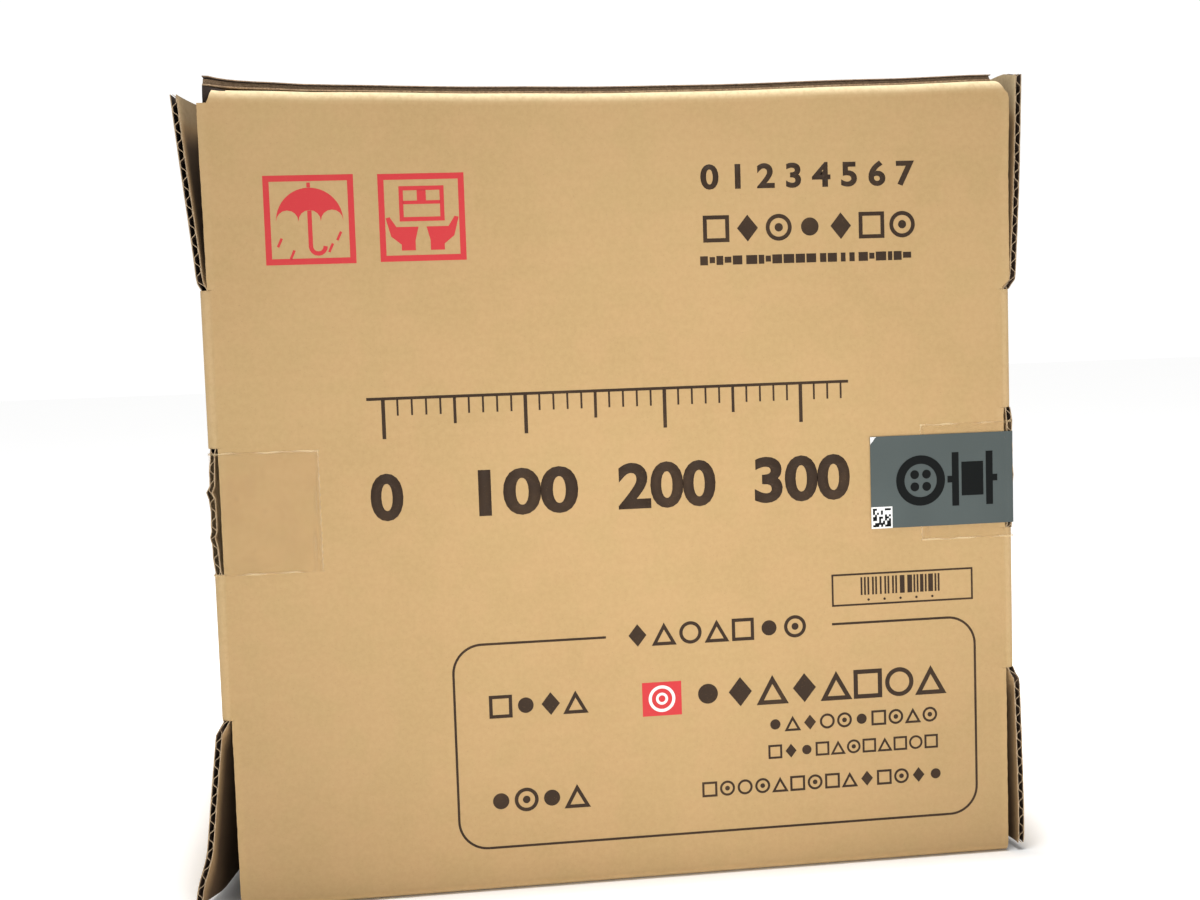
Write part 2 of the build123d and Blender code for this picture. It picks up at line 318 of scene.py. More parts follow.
def paper_tube():
    """Spiral-wound tube: a slanting seam between strips of grey-brown paper."""
    finish = Finish("paper_tube", Roughness=0.8)
    axle_height, strip = 0.165, 0.09
    turn = (finish.axis("Z") - axle_height).maths("ARCTAN2", finish.axis("X"))
    seam = (finish.axis("Y") * (2 * pi / strip) + turn).maths("SINE").between(0.97, 0.995)
    fibre = finish.noise(0.003, 4.0, 0.7)
    shade = finish.mix(fibre.between(0.3, 0.7), colour(150, 122, 90), colour(172, 143, 108))
    shade = finish.mix(seam * 0.8, shade, colour(104, 80, 56))
    return finish.made(fibre * 0.3 - seam, 0.0003, 0.6, Base_Color=shade)


def cable_jacket():
    """Grey PVC jacket, satin, with the faint lay of the pairs beneath it."""
    finish = Finish("cable_jacket", Roughness=0.38)
    fine = finish.noise(0.001, 2.0, 0.5)
    lay = finish.noise(0.012, 2.0, 0.5)
    shade = finish.mix(lay.between(0.3, 0.7), colour(140, 144, 145), colour(152, 155, 155))
    return finish.made(fine + lay, 0.0001, 0.35, Base_Color=shade, Roughness=fine * 0.15 + 0.32)


BROWN_INK = ink("brown_ink", colour(58, 44, 33), colour(140, 108, 74))
RED_INK = ink("red_ink", colour(206, 62, 66), colour(206, 120, 92))
KRAFT_UP = kraft("kraft_upright", "Z")
KRAFT_FLAT = kraft("kraft_flat", "Y")
KRAFT_INSIDE = kraft("kraft_inside", "Z", colour(172, 137, 96))
# The medium's paper, made dark with painted shade of the flute hollows.
SHADED_FLUTING = raw_paper(
    "fluting_paper", colour(62, 46, 34), colour(84, 64, 48), 0.0, 0.0012, 0.7, 0.0002, 0.6
)
CUT_EDGE = raw_paper("cut_paper_edge", colour(150, 124, 94), colour(206, 182, 148))
OLD_EDGE = raw_paper("crushed_paper_edge", colour(118, 92, 70), colour(206, 176, 142))
SHADED_EDGE = raw_paper("shaded_paper_edge", colour(30, 20, 14), colour(52, 37, 27), 0.0)
CRUSHED_FLUTES = raw_paper("crushed_flutes", colour(150, 120, 92), colour(205, 176, 142))
TAPE = clear_tape()
GREY_PAPER = coated_paper("grey_label_paper", colour(75, 84, 83), 0.34)
WHITE_PAPER = coated_paper("white_label_paper", colour(232, 232, 230), 0.45)
LABEL_INK = plastic("label_ink", colour(14, 17, 17), 0.6, 0.12)
BLACK_PLASTIC = plastic("black_plastic", colour(40, 40, 42), 0.45)
BAND_PLASTIC = plastic("band_plastic", colour(216, 216, 210), 0.3)
STEEL = zinc_steel()
HARDBOARD = hardboard()
TUBE = paper_tube()
JACKET = cable_jacket()


# ---- modelling tools
def select_only(*objects):
    bpy.ops.object.select_all(action="DESELECT")
    for item in objects:
        item.select_set(True)
    bpy.context.view_layer.objects.active = objects[0]


def added(add, **settings):
    """Adds one primitive by itself and returns it."""
    bpy.ops.object.select_all(action="DESELECT")
    add(**settings)
    return bpy.context.object


def edited(item, operation, **settings):
    """Runs one edit on the whole mesh of a piece."""
    select_only(item)
    bpy.ops.object.mode_set(mode="EDIT")
    bpy.ops.mesh.select_all(action="SELECT")
    operation(**settings)
    bpy.ops.object.mode_set(mode="OBJECT")


def softened(degrees):
    """Shades the active piece smooth, but for edges sharper than the given angle."""
    bpy.ops.object.shade_smooth_by_angle(angle=radians(degrees))


def thicken(item, thickness):
    """Gives a surface a thickness, half of it to each side."""
    solid = item.modifiers.new("Solidify", "SOLIDIFY")
    solid.thickness = thickness
    solid.offset = 0
    return solid


def apply_all(item):
    """Applies every modifier on a piece."""
    select_only(item)
    for modifier in list(item.modifiers):
        bpy.ops.object.modifier_apply(modifier=modifier.name)


def settle(item):
    """Puts a piece's place and size into its mesh."""
    select_only(item)
    bpy.ops.object.transform_apply(location=True, rotation=True, scale=True)


def joined(name, parts):
    """Joins parts into one named piece."""
    select_only(*parts)
    if len(parts) > 1:
        bpy.ops.object.join()
    item = bpy.context.object
    item.name = name
    return item


def finished(item, body, slot, *nodes):
    """Hangs a piece on its body and hides the nodes that it stands for; slot is not used."""
    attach(item, body)
    if nodes:
        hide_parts(*nodes)
    return item


def sheet(name, columns, rows, place, thickness, material, worn=None, back=None, rim=None):
    """A thin closed sheet: a grid whose crossings are put at place(column, row).

    Its face, its back and its cut edges may have different finishes.
    """
    last_column, last_row = len(columns) - 1, len(rows) - 1
    item = added(
        bpy.ops.mesh.primitive_grid_add, x_subdivisions=last_column, y_subdivisions=last_row, size=2
    )
    item.name = name
    wear = item.data.attributes.new("worn", "FLOAT", "POINT")
    for vertex in item.data.vertices:
        column = columns[round((vertex.co.x + 1) / 2 * last_column)]
        row = rows[round((vertex.co.y + 1) / 2 * last_row)]
        vertex.co = place(column, row)
        if worn:
            wear.data[vertex.index].value = worn(column, row)
    item.data.materials.append(material)
    solid = thicken(item, thickness)
    if back:
        item.data.materials.append(back)
        solid.material_offset = 1
    if rim:
        item.data.materials.append(rim)
        solid.material_offset_rim = len(item.data.materials) - 1
    apply_all(item)
    return item


def board(
    name, columns, rows, place, low, high, outer=None, breaks=(), worn=None, spare=None, edge=None,
    inside=None, medium=None
):
    """Corrugated board: two liners with the fluted medium between them.

    place(column, row, out) gives a point, with out measured from the board's middle; the
    flutes run along the columns and the waves along the rows, from low to high. worn and
    inside give the tone of the outer and the inner liner: wear, painted highlight and painted
    shade. spare gives the medium fewer columns.
    """
    outer, edge, medium = outer or KRAFT_UP, edge or CUT_EDGE, medium or SHADED_FLUTING
    u, v = columns[len(columns) // 2], (low + high) / 2
    start, along, up, out = (
        Vector(place(*p)) for p in ((u, v, 0), (u + 1e-4, v, 0), (u, v + 1e-4, 0), (u, v, 1e-4))
    )
    face_out = (along - start).cross(up - start).dot(out - start) > 0
    # Liner faces towards the flutes take the dark fluting finish: painted shade of the hollows.
    finishes = [(outer, SHADED_FLUTING), (SHADED_FLUTING, KRAFT_INSIDE)]
    if not face_out:
        finishes = [pair[::-1] for pair in finishes]
    height = BOARD / 2 - LINER - MEDIUM / 2

    def wave(v):
        turn = 2 * pi * v / FLUTE
        return height * (sin(turn) + 0.16 * sin(3 * turn)) / 0.87

    parts = [
        sheet(
            name, columns, rows, lambda u, v, out=out: place(u, v, out), LINER, face, wear, back, edge
        )
        for out, wear, (face, back) in zip((LINER_OUT, -LINER_OUT), (worn, inside or worn), finishes)
    ]
    flute_rows = with_breaks(low, high, FLUTE / FLUTE_STEPS, breaks)
    parts.append(sheet(
        name, spare or columns, flute_rows, lambda u, v: place(u, v, wave(v)), MEDIUM, medium,
        rim=edge,
    ))
    item = joined(name, parts)
    softened(BOARD_SHARP)
    return item


def node_board(node, body, *arguments, **settings):
    """A board that stands for one CAD node on one body."""
    return finished(board(*arguments, **settings), body, "kraft_board", node)


def with_breaks(low, high, step, breaks=()):
    """Rows about step apart, with a close pair of rows at each place where the outline jumps."""
    tie, least = 0.05 * MM, 0.02 * MM
    values = steps(low, high, max(1, round((high - low) / step)))
    for place in breaks:
        if low < place < high:
            values += [place - tie, place + tie]
    kept = []
    for value in sorted(values):
        if not kept or value - kept[-1] > least:
            kept.append(value)
    kept[-1] = high
    return kept


def ragged(along, seed):
    """A small uneven figure from -1 to 1 for edges that a blade or a tear has left."""
    total = 0
    for wave, share in ((0.9, 0.45), (2.3, 0.33), (6.1, 0.22)):
        total += share * sin(along / (wave * MM) + seed * 1.7 * wave)
    return total


def between_points(table, value):
    """Reads a table of (place, figure) pairs, smoothly between neighbours."""
    if value <= table[0][0]:
        return table[0][1]
    for (low, first), (high, second) in zip(table, table[1:]):
        if value <= high:
            return first + (second - first) * smooth(low, high, value)
    return table[-1][1]


def bent(run, flat, radius, out):
    """A board passes a fold: how far along the first face, and how far back from it."""
    if run <= flat:
        return run, BOARD / 2 - out
    middle = radius - BOARD / 2
    angle = min((run - flat) / middle, pi / 2)
    beyond = max(run - flat - middle * pi / 2, 0)
    return flat + (middle + out) * sin(angle), radius - (middle + out) * cos(angle) + beyond


# ---- front panel
SIDE_FOLD = 3.6 * MM
FLAT_HALF = HALF_W - SIDE_FOLD
FOLDED_EDGE = FLAT_HALF + (SIDE_FOLD - BOARD / 2) * pi / 2
LEVEL_FOLD = 4.0 * MM
LEVEL_QUARTER = (LEVEL_FOLD - BOARD / 2) * pi / 2
RELIEF = 6.0 * MM          # slope at the upper right corner
NICK = 5.6 * MM            # nick at the upper left corner
STRETCH_FROM = 0.150       # outwards of this the front's columns follow its ragged edge
SAG_LOW, SAG_HIGH = 0.300, 0.326       # heights between which the front begins to sag
SAG_FRONT, SAG_BACK = -0.105, 0.02     # depths between which the top's sag ends
TOP_SAG = [(place * MM, rise * MM) for place, rise in (
    (-164, 1.1), (-144, 0.4), (-113, -0.6), (-45, -1.95), (-5, -2.5), (36, -2.3), (112, -0.9),
    (160, 0.3),
)]


def top_sag(x, y):
    """The top gives way a little along its front edge, most at the middle."""
    return between_points(TOP_SAG, x) * fall(SAG_FRONT, SAG_BACK, y)


def slit_places(name):
    """Heights where the slits of one front edge start and end."""
    lower = CORNERS[name, "lower"][0]
    upper = PANEL_TOP - CORNERS[name, "upper"][0]
    return lower, *MIDDLE_SLITS[name], upper


def in_middle(name, z):
    """True where the middle slit of one front edge is open."""
    low, high = MIDDLE_SLITS[name]
    return low < z < high


def is_folded(name, z):
    """True where the front turns into the side wall, between two slits."""
    lower, middle_low, middle_high, upper = slit_places(name)
    return lower < z < middle_low or middle_high < z < upper


def front_edge(name, z):
    """Half width of the front board at one height."""
    if is_folded(name, z):
        return FOLDED_EDGE
    edge = PANEL_EDGE + 0.12 * MM * ragged(z, SIDES[name])
    lower, middle_low, middle_high, upper = slit_places(name)
    if z < lower:
        edge -= 0.5 * MM
    elif z < middle_high:
        share = (z - middle_low) / (middle_high - middle_low)
        edge -= (0.5 if name == "left" else 0.4 * sin(pi * share) ** 0.5) * MM
    elif name == "left":
        # The corner is nicked, and slopes from the nick to the top.
        edge += 0.5 * MM * (1 + smooth(upper, PANEL_TOP, z))
        if z > PANEL_TOP - NICK:
            edge -= 3.7 * MM + 0.5 * (z - PANEL_TOP + NICK)
    else:
        # This slit runs a little outside the fold, and its corner slopes.
        share = (z - upper) / (PANEL_TOP - upper)
        edge += 3.1 * MM * smooth(0.012, 0.05, share) + 0.7 * MM * smooth(0.5, 0.9, share)
        edge -= min(max(z - (PANEL_TOP - RELIEF), 0.0), RELIEF)
    return edge


def front_place(u, v, out):
    side = 1 if u > 0 else -1
    reach = abs(u)
    if reach > STRETCH_FROM:
        stretch = (front_edge(name_of(side), v) - STRETCH_FROM) / (FOLDED_EDGE - STRETCH_FROM)
        reach = STRETCH_FROM + (reach - STRETCH_FROM) * stretch
    if is_folded(name_of(side), v):
        out -= 0.28 * MM * exp(-(((reach - FLAT_HALF) / (0.55 * MM)) ** 2))
        x, back = bent(reach, FLAT_HALF, SIDE_FOLD, out)
    else:
        x, back = reach, BOARD / 2 - out
    z = v
    if v > PANEL_TOP - LEVEL_FOLD:
        z, back = bent(v, PANEL_TOP - LEVEL_FOLD, LEVEL_FOLD, out)
    elif v < LEVEL_FOLD:
        z, back = bent(-v, -LEVEL_FOLD, LEVEL_FOLD, out)
        z = -z
    z += between_points(TOP_SAG, side * x) * smooth(SAG_LOW, SAG_HIGH, v)
    return side * x, FRONT_Y + back, z


def front_light_and_wear(u, v):
    """A painted highlight along the top fold, wear along the other folds, and a little painted shade
    towards the foot.
    """
    reach = abs(u)
    # grime is painted shade: darker towards the foot, more so towards the sides.
    foot_shade = 0.13 * fall(0.0, 0.16, v) * (0.45 + 0.55 * smooth(0.04, 0.15, reach))
    # At the top fold this is a painted highlight; at the lower fold it is wear.
    level = max(smooth(PANEL_TOP - 4.6 * MM, PANEL_TOP - 1.6 * MM, v), 0.4 - smooth(1 * MM, 6 * MM, v))
    side = 0.14 if is_folded(name_of(u), v) else 0.04
    return max(level, side * smooth(FLAT_HALF - 1.5 * MM, FLAT_HALF + 0.6 * MM, reach)) - foot_shade


edge_columns = [STRETCH_FROM, 0.153, 0.156, 0.159, 0.1615, 0.1628, 0.1632, 0.1635]
edge_columns += steps(FLAT_HALF, FOLDED_EDGE, 8) + [FOLDED_EDGE + 0.2 * MM]
middle_columns = steps(-0.135, 0.135, 18)
all_columns = [-c for c in reversed(edge_columns)] + middle_columns + edge_columns
sparse_columns = [-c for c in reversed(edge_columns)] + [0.0] + edge_columns
slit_breaks = slit_places("left") + slit_places("right") + (PANEL_TOP - NICK,)
front_low_row = LEVEL_FOLD - LEVEL_QUARTER - 0.1 * MM
front_high_row = PANEL_TOP - LEVEL_FOLD + LEVEL_QUARTER + 0.1 * MM
front_rows = with_breaks(front_low_row, front_high_row, 2.6 * MM, slit_breaks)
fold_rows = steps(front_low_row, LEVEL_FOLD, 7)
fold_rows += steps(PANEL_TOP - LEVEL_FOLD, front_high_row, 7)
fold_rows += [PANEL_TOP - NICK - 0.04 * MM, PANEL_TOP - NICK + 0.04 * MM]
flat_low, flat_high = LEVEL_FOLD + 0.3 * MM, PANEL_TOP - LEVEL_FOLD - 0.3 * MM
front_rows = [row for row in front_rows if flat_low < row < flat_high]
front_rows = sorted(front_rows + fold_rows)
node_board(
    "front_panel", "carton", "front_board", all_columns, front_rows, front_place, front_low_row,
    front_high_row, KRAFT_UP, slit_breaks, front_light_and_wear, sparse_columns,
)

# ---- side walls
WALL_COLUMNS = [
    -110, -108.6, -107.2, -105.6, -103, -99, -94, -88, -82, -76, -70, -64, -58, -52, -46, -40, -30,
    -10, 20, 50, 80, 95,
]
WALL_STRETCH = -99 * MM    # forwards of this the wall's columns follow its front edge
TIES = (0.153, 0.172)      # heights of the torn ties in the left middle slit


def corner_travel(name, y, z):
    """How far a flared corner of a side wall stands out at one place."""
    near = fall(FRONT_Y, FRONT_Y + 16 * MM, y)
    slit, reach, travel = CORNERS[name, "upper"]
    share = 1 - (y - FRONT_Y) / reach - (PANEL_TOP - z) / slit
    if share > 0:
        spring = 2.7 * MM * (1 - share) if name == "right" else 1.5 * MM * exp(-share / 0.25)
        sprung = spring * smooth(0, 0.05, share) * near
        return travel * share + sprung + 0.5 * MM * sin(pi * share)
    slit, reach, travel = CORNERS[name, "lower"]
    share = 1 - (y - FRONT_Y) / reach - (z - WALL_LOW) / (slit - WALL_LOW)
    if share <= 0:
        return 0.0
    out = travel * share + 2.6 * MM * smooth(0, 0.08, share) * (1 - share) ** 0.5 * near
    if name == "left":
        # The foot of this corner is crushed and turned out further.
        out += 3.2 * MM * smooth(0.68, 0.97, share)
    return out


def inner_light_and_shade(name, y, z):
    """Tone of a side wall's inner liner: painted light at the upper corner, painted shade behind the
    slits.
    """
    depth = y - FRONT_Y
    if is_folded(name, z):
        return 0.0
    corner = smooth(PANEL_TOP - 22 * MM, PANEL_TOP - 6 * MM, z)
    # pale is painted light on the inner face of the upper corner.
    pale = (0.6 if name == "right" else 0.35) * corner * fall(20 * MM, 50 * MM, depth)
    deep = 3 * MM if in_middle(name, z) else 8 * MM
    # dark is painted shade on the inner face behind the slits.
    dark = smooth(0, deep, depth) * fall(35 * MM, 75 * MM, depth)
    return pale - 0.78 * dark * (1 - corner)


def nubs(name, z):
    """The middle slit's edge springs out a little; on the left two torn ties stand proud."""
    if not in_middle(name, z):
        return 0.0
    low, high = MIDDLE_SLITS[name]
    out = 1.2 * MM * sin(pi * (z - low) / (high - low)) ** 0.35
    if name == "left":
        for tie in TIES:
            out += 1.2 * MM * exp(-(((z - tie) / (1.7 * MM)) ** 2))
    return out


def wall_board(name, side):
    def place(y, z, out):
        start = FRONT_Y + 0.14 * MM * ragged(z, side * 2)
        near = fall(-109.5 * MM, -94 * MM, y)
        crushed = 0.0 if is_folded(name, z) else 0.22 * near
        if in_middle(name, z):
            crushed = near * (0.34 + 0.14 * ragged(z * 0.5, side * 5))
        bulge = nubs(name, z) * fall(-110 * MM, -103 * MM, y)
        if is_folded(name, z):
            start = FRONT_Y + SIDE_FOLD
        if y < WALL_STRETCH:
            stretch = (start - WALL_STRETCH) / (FRONT_Y - WALL_STRETCH)
            y = WALL_STRETCH + (y - WALL_STRETCH) * stretch
        inner = HALF_W - BOARD + (BOARD / 2 + out) * (1 - crushed)
        # The right wall's upper corner has risen, and the left one's has sunk.
        top_part = smooth(PANEL_TOP - 30 * MM, PANEL_TOP, z)
        if name == "right":
            hump = smooth(-108 * MM, -98 * MM, y) * fall(-90 * MM, -72 * MM, y)
            z += top_part * (2.5 * MM * fall(-100 * MM, -50 * MM, y) + 1.7 * MM * hump)
        else:
            z -= 1.2 * MM * top_part * fall(FRONT_Y, -50 * MM, y)
        return side * (inner + corner_travel(name, y, z) + bulge), y, z

    def worn(y, z):
        front_end = fall(FRONT_Y + 0.5 * MM, FRONT_Y + 5 * MM, y)
        return 0.35 * max(front_end, fall(WALL_LOW, 8 * MM, z))

    columns = [y * MM for y in WALL_COLUMNS] + [MOUTH]
    breaks = slit_places(name)
    rows = with_breaks(WALL_LOW, PANEL_TOP, 2.6 * MM, breaks)
    return board(
        f"{name}_wall_board", columns, rows, place, WALL_LOW, PANEL_TOP, KRAFT_UP, breaks, worn,
        inside=lambda y, z: inner_light_and_shade(name, y, z),
    )


CUTTER = 30 * MM           # longer than any board is thick
PAYOUT_HOLE = 16.1 * MM    # radius of the hole that the payout grommet fills
AXLE_HOLE = 22.1 * MM      # radius of the holes that the axle bushes fill


def pierced(item, centre, axis, radius):
    """Cuts a round hole through every layer of a board."""
    turn = {"X": (0, pi / 2, 0), "Y": (pi / 2, 0, 0)}[axis]
    cutter = added(
        bpy.ops.mesh.primitive_cylinder_add, vertices=64, radius=radius, depth=CUTTER,
        location=centre, rotation=turn,
    )
    cut = item.modifiers.new("Hole", "BOOLEAN")
    cut.operation = "DIFFERENCE"
    cut.object = cutter
    cut.solver = "EXACT"
    cut.use_self = False
    apply_all(item)
    bpy.data.objects.remove(cutter)
    return item


grommet_low, grommet_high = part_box("payout_grommet")
PAYOUT_Z = (grommet_low.z + grommet_high.z) / 2
for name, side in SIDES.items():
    wall = wall_board(name, side)
    if name == "right":
        pierced(wall, (HALF_W, 0, PAYOUT_Z), "X", PAYOUT_HOLE)
    finished(wall, "carton", "kraft_board", f"{name}_side_wall")

# ---- top, bottom, tabs and cradles
FRONT_BEND = FRONT_Y + LEVEL_FOLD
LINING_Y = BACK_Y - BOARD
wide_columns = steps(-1.0, 1.0, 22)


def bottom_place(share, y, out):
    return share * PANEL_EDGE, y, BOARD / 2 - out


def top_place(share, y, out):
    """The inner top, with its front corners a little relieved."""
    relieved = 1 - min(max((y - FRONT_Y - BOARD) / (4 * RELIEF), 0.0), 1.0)
    x = share * (PANEL_EDGE - 0.3 * RELIEF * relieved)
    return x, y, CEILING + BOARD / 2 + out + top_sag(x, y)


rows = steps(FRONT_BEND, LINING_Y, 60)
node_board(
    "bottom_panel", "carton", "bottom_board", wide_columns, rows, bottom_place, FRONT_BEND,
    LINING_Y, KRAFT_FLAT,
)
node_board(
    "top_inner_panel", "carton", "inner_top_board", wide_columns, rows, top_place, FRONT_BEND,
    LINING_Y, KRAFT_FLAT, edge=OLD_EDGE,
)

for name, side in SIDES.items():
    for level, root, rise in (("bottom", BOARD, 1), ("top", CEILING, -1)):
        low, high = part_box(f"{name}_{level}_tab")

        def tab_place(share, y, out, side=side, root=root, rise=rise, low=low, high=high):
            taper = 10.0 * MM
            reach = (high.z - low.z) * min(1.0, (y - low.y) / taper, (high.y - y) / taper)
            x = side * (WALL_IN - BOARD / 2 - out)
            return x, y, root + rise * (0.3 * MM + share * max(reach, 0.4 * MM))

        node_board(
            f"{name}_{level}_tab", "carton", f"{name}_{level}_tab_board", steps(0.0, 1.0, 3),
            steps(low.y, high.y, 40), tab_place, low.y, high.y, KRAFT_INSIDE,
        )

PLY_SHARE = 0.985          # of its thickness, so that a cradle's two plies don't meet
bush_low, bush_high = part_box("front_axle_bush")
SPOOL_Z = (bush_low.z + bush_high.z) / 2
for node in ("front_cradle_board", "rear_cradle_board"):
    low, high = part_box(node)
    shoulder = high.z - 40 * MM
    plies = []
    for ply in (0, 1):
        def cradle_place(share, z, out, low=low, high=high, shoulder=shoulder, ply=ply):
            half = high.x - max(0.0, z - shoulder)
            return share * half, low.y + BOARD * (ply + 0.5) + out * PLY_SHARE, z

        plies.append(board(
            f"{node}_{ply}", steps(-1.0, 1.0, 8), with_breaks(low.z, high.z, 6 * MM, [shoulder]),
            cradle_place, low.z, high.z, KRAFT_INSIDE,
        ))
    cradle = joined(node.replace("_board", "_plies"), plies)
    pierced(cradle, (0, (low.y + high.y) / 2, SPOOL_Z), "Y", AXLE_HOLE)
    finished(cradle, "carton", "kraft_board", node)

# ---- back panel and its flaps
CREASE = 1.8 * MM


def back_place(x, z, out):
    return x, BACK_Y - BOARD / 2 + out, z


back_rows = steps(CREASE, PANEL_TOP, 70)
back_edge = [HALF_W - 4 * MM, HALF_W - 2 * MM, HALF_W - 0.8 * MM, HALF_W]
back_columns = [-x for x in reversed(back_edge)] + steps(-0.15, 0.15, 18) + back_edge
node_board(
    "back_panel", "lid", "back_board", back_columns, back_rows, back_place, CREASE, PANEL_TOP,
    KRAFT_UP, (), lambda x, z: 0.4 * smooth(HALF_W - 3.5 * MM, HALF_W - 0.5 * MM, abs(x)),
)

FLAP_HALF = flap_high.x
LIFT = [
    (-FLAP_HALF, 3.5 * MM), (-0.154, 2.0 * MM), (-0.142, 1.2 * MM), (-0.129, 0.55 * MM), (-0.085, 0.0),
]


def flap_place(share, y, out):
    """The flap is crushed thin along its front edge, and its liners part at the left end."""
    near_front = fall(FRONT_Y, FRONT_Y + 24 * MM, y)
    x = share * (FLAP_HALF + (1.5 * MM * near_front if share < 0 else 0))
    crush = 1 - 0.30 * near_front
    middle = PANEL_TOP + BOARD / 2 * crush + top_sag(x, y) + 0.2 * MM * near_front
    lift = between_points(LIFT, x) * near_front
    spread = 1 + 0.35 * lift / MM if out > 0.8 * MM else 1
    return x, y, middle + out * crush * spread + lift * 0.45


flap_start = FRONT_Y + 3.2 * MM
flap_rows = steps(flap_start, BACK_Y - CREASE, 70)
flap_columns = [-1, -0.985, -0.965, -0.94, -0.91, -0.88] + steps(-0.84, 0.9, 22) + [0.95, 0.98, 1]
node_board(
    "top_outer_flap", "top_flap", "top_flap_board", flap_columns, flap_rows, flap_place, flap_start,
    BACK_Y - CREASE, KRAFT_FLAT, (),
    lambda share, y: max(smooth(0.98, 1, abs(share)), fall(FRONT_Y, FRONT_Y + 6 * MM, y)),
    edge=OLD_EDGE, medium=CRUSHED_FLUTES,
)

# A near-black sheet, curled like a loose liner, hangs at the flap's left corner: it paints the shade
# under that corner.
CURL_WIDTH = 9.0 * MM
CURL_DROP = 9.0 * MM


def shadow_curl_place(share, down):
    drop = 0.3 * MM + CURL_DROP * (1 - share) ** 1.5
    bow = (3.6 - 1.5 * sin(down * 2.2)) * MM
    top = PANEL_TOP + (3.0 - 2.4 * share) * MM
    return -FLAP_HALF - 1.5 * MM + CURL_WIDTH * share, FRONT_Y + bow, top - drop * down


shadow_curl = sheet(
    "loose_liner_curl", steps(0, 1, 9), steps(0, 1, 8), shadow_curl_place, LINER, SHADED_EDGE, None,
    SHADED_EDGE, OLD_EDGE,
)
finished(shadow_curl, "top_flap", "kraft_board")

dust_low, dust_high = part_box("left_dust_flap")
DUST_REACH = dust_high.x - dust_low.x
DUST_CORNER = 14 * MM


def dust_reach(z):
    """Dust flap's reach at one height: a sloping foot and two rounded free corners."""
    reach = min(DUST_REACH, max(z - dust_low.z, 0.0) + 3 * MM)
    down = dust_high.z - z
    if down < DUST_CORNER:
        reach -= DUST_CORNER - sqrt(DUST_CORNER ** 2 - (DUST_CORNER - down) ** 2)
    turn, ease = dust_low.z + DUST_REACH, 8 * MM
    if abs(z - turn) < ease:
        reach -= 2.2 * MM * (1 - abs(z - turn) / ease) ** 2
    return reach


for name, side in SIDES.items():

    def dust_place(share, z, out, side=side):
        x = side * (HALF_W - CREASE - share * (dust_reach(z) - CREASE))
        return x, MOUTH + BOARD / 2 + out, z

    dust_rows = with_breaks(dust_low.z, dust_high.z, 3 * MM, [dust_low.z + DUST_REACH])
    node_board(
        f"{name}_dust_flap", f"{name}_dust", f"{name}_dust_board", steps(0.0, 1.0, 8), dust_rows,
        dust_place, dust_low.z, dust_high.z,
    )


def crease(name, corner, toward_first, toward_second, along):
    """Liner over a hinge: it turns the corner between two boards."""
    corner, first_way, second_way = Vector(corner), Vector(toward_first), Vector(toward_second)
    leg, bend = 11 * MM, 1.7 * MM
    inset = LINER / 2 - 0.04 * MM
    legs = [leg * share for share in (1, 0.75, 0.5, 0.3)]
    section = [corner + first_way * run + second_way * inset for run in legs]
    centre = corner + (first_way + second_way) * bend
    for angle in steps(0, pi / 2, 8):
        across = second_way * cos(angle) + first_way * sin(angle)
        section.append(centre - across * (bend - inset))
    section += [corner + second_way * run + first_way * inset for run in reversed(legs)]
    ends = steps(along[0], along[1], 40)
    axis = 0 if abs(first_way.x) + abs(second_way.x) < 0.5 else 2

    def place(index, where):
        point = section[int(index)].copy()
        point[axis] = where
        return point

    def worn(index, where):
        return 0.3 if abs(index - len(section) // 2) < 4 else 0.0

    strip = sheet(name, list(range(len(section))), ends, place, LINER, KRAFT_UP, worn)
    softened(BOARD_SHARP)
    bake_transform(strip)
    return strip


back_span = (-HALF_W + 0.3 * MM, HALF_W - 0.3 * MM)
flap_span = (-FLAP_HALF, FLAP_HALF)
crease("lid_crease", (0, BACK_Y, 0), (0, -1, 0), (0, 0, 1), back_span)
crease("top_flap_crease", (0, BACK_Y, TOP), (0, 0, -1), (0, -1, 0), flap_span)
for name, side in SIDES.items():
    crease(
        f"{name}_dust_crease", (side * HALF_W, LINING_Y, 0), (0, -1, 0), (-side, 0, 0),
        (dust_low.z + 1 * MM, dust_high.z),
    )

# ---- tapes and labels
TAPE_FILM = 0.07 * MM
LABEL_FILM = 0.11 * MM
LABEL_LIFT = 0.26 * MM
WRAP_BEND = 0.9 * MM       # bend of tapes and label round the corner of the box


def wrap_place(side, reach, lift):
    """Places on the front face and, past the corner, on the side wall, a lift off the board."""
    flat = HALF_W - WRAP_BEND

    def place(run, z, out):
        run = HALF_W - reach + run
        if run <= flat:
            return side * run, FRONT_Y - lift - out, z
        angle = min((run - flat) / WRAP_BEND, pi / 2)
        beyond = max(run - flat - WRAP_BEND * pi / 2, 0)
        outer = WRAP_BEND + lift + out
        x = flat + outer * sin(angle)
        return side * x, FRONT_Y + WRAP_BEND - outer * cos(angle) + beyond, z

    return place


def wrap_columns(reach, wrap, step):
    """Runs along a strip that turns the corner, close together where it bends."""
    turn = reach - WRAP_BEND
    back = turn + 1.42 * MM
    flat = steps(0, turn, max(1, round(turn / step)))
    return flat + steps(turn, back, 6)[1:] + steps(back, back + wrap - 1 * MM, round(wrap / step))[1:]


